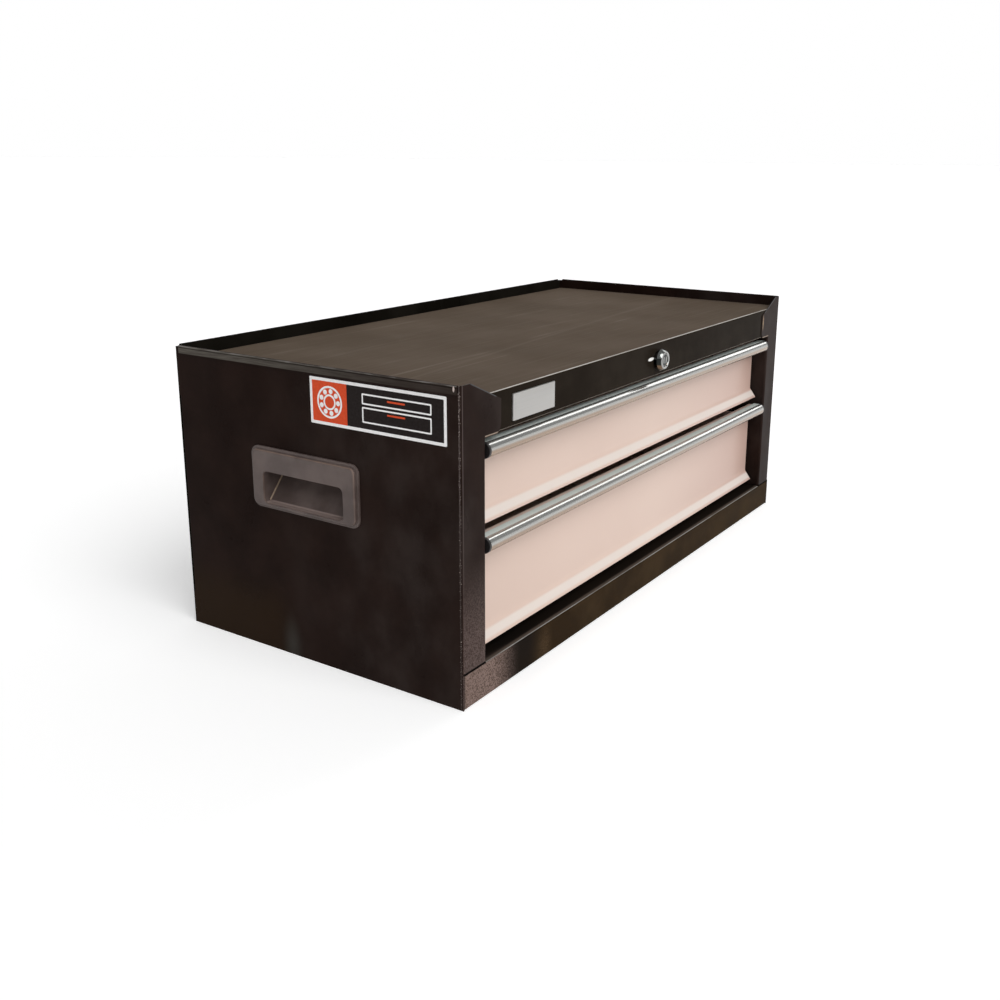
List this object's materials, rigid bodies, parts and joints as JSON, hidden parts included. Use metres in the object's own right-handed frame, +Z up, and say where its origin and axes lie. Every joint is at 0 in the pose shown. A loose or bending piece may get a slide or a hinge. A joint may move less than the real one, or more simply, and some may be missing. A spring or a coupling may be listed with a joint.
{
  "type": "intermediate tool chest",
  "caption": "Low steel tool chest with a rimmed flat deck, drawers on ball slides with full-width metal pulls, a key lock in the header and recessed side grips.",
  "frame": {"origin": "middle of the case's footprint, on the surface that the chest stands on", "axes": "+X to the right of someone who faces the drawers, -Y out of the drawer fronts, +Z up"},
  "size_m": [0.6692, 0.3261, 0.2674],
  "materials": {
    "case_paint": "black powder coat, satin gloss",
    "drawer_paint": "cream powder coat, satin",
    "pull_aluminium": "polished extrusion",
    "cap_plastic": "moulded black",
    "grip_plastic": "fine moulded grain",
    "slide_zinc": "zinc plated",
    "ball_steel": "polished",
    "lock_chrome": "bright chrome plate",
    "fitting_steel": "plated steel"
  },
  "bodies": {
    "cabinet": {"left_side_panel": "case_paint", "right_side_panel": "case_paint", "back_panel": "case_paint", "top_panel": "case_paint", "bottom_panel": "case_paint", "left_slide_upright": "case_paint", "right_slide_upright": "case_paint", "left_side_grip": "grip_plastic", "right_side_grip": "grip_plastic", "upper_left_slide_rail": "slide_zinc", "upper_right_slide_rail": "slide_zinc", "lower_left_slide_rail": "slide_zinc", "lower_right_slide_rail": "slide_zinc", "lock_housing": "lock_chrome", "lock_nut": "fitting_steel", "rod_hanger": "fitting_steel", "upper_bar_guide": "fitting_steel", "lower_bar_guide": "fitting_steel"},
    "upper_drawer": {"upper_drawer_pan": "drawer_paint", "upper_left_drawer_side": "drawer_paint", "upper_right_drawer_side": "drawer_paint", "upper_drawer_front": "drawer_paint", "upper_drawer_pull": "pull_aluminium", "upper_left_pull_cap": "cap_plastic", "upper_right_pull_cap": "cap_plastic", "upper_left_slide_runner": "slide_zinc", "upper_right_slide_runner": "slide_zinc", "upper_drawer_catch": "fitting_steel"},
    "upper_ball_cages": {"upper_left_ball_cage": "slide_zinc", "upper_right_ball_cage": "slide_zinc", "upper_slide_balls": "ball_steel"},
    "lower_drawer": {"lower_drawer_pan": "drawer_paint", "lower_left_drawer_side": "drawer_paint", "lower_right_drawer_side": "drawer_paint", "lower_drawer_front": "drawer_paint", "lower_drawer_pull": "pull_aluminium", "lower_left_pull_cap": "cap_plastic", "lower_right_pull_cap": "cap_plastic", "lower_left_slide_runner": "slide_zinc", "lower_right_slide_runner": "slide_zinc", "lower_drawer_catch": "fitting_steel"},
    "lower_ball_cages": {"lower_left_ball_cage": "slide_zinc", "lower_right_ball_cage": "slide_zinc", "lower_slide_balls": "ball_steel"},
    "lock_plug": {"lock_plug": "lock_chrome", "lock_rod": "fitting_steel", "lock_crank": "fitting_steel"},
    "lock_bar": {"lock_bar": "fitting_steel"}
  },
  "joints": [
    {"name": "upper_drawer_slide", "type": "slide", "parent": "cabinet", "child": "upper_drawer", "axis": [0, -1, 0], "range_m": [0, 0.19]},
    {"name": "upper_cage_slide", "type": "slide", "parent": "cabinet", "child": "upper_ball_cages", "axis": [0, -1, 0], "range_m": [0, 0.095]},
    {"name": "lower_drawer_slide", "type": "slide", "parent": "cabinet", "child": "lower_drawer", "axis": [0, -1, 0], "range_m": [0, 0.19]},
    {"name": "lower_cage_slide", "type": "slide", "parent": "cabinet", "child": "lower_ball_cages", "axis": [0, -1, 0], "range_m": [0, 0.095]},
    {"name": "lock_turn", "type": "hinge", "parent": "cabinet", "child": "lock_plug", "pos_m": [0, -0.1576, 0.238], "axis": [0, 1, 0], "range_deg": [0, 90]},
    {"name": "lock_bar_drop", "type": "slide", "parent": "cabinet", "child": "lock_bar", "axis": [0, 0, 1], "range_m": [-0.0141, 0]}
  ],
  "couplings": [
    {"joint": "upper_cage_slide", "follows": "upper_drawer_slide", "ratio": 0.5},
    {"joint": "lower_cage_slide", "follows": "lower_drawer_slide", "ratio": 0.5},
    {"joint": "lock_turn", "follows": "lock_bar_drop", "rad_per_m": -111.07}
  ]
}
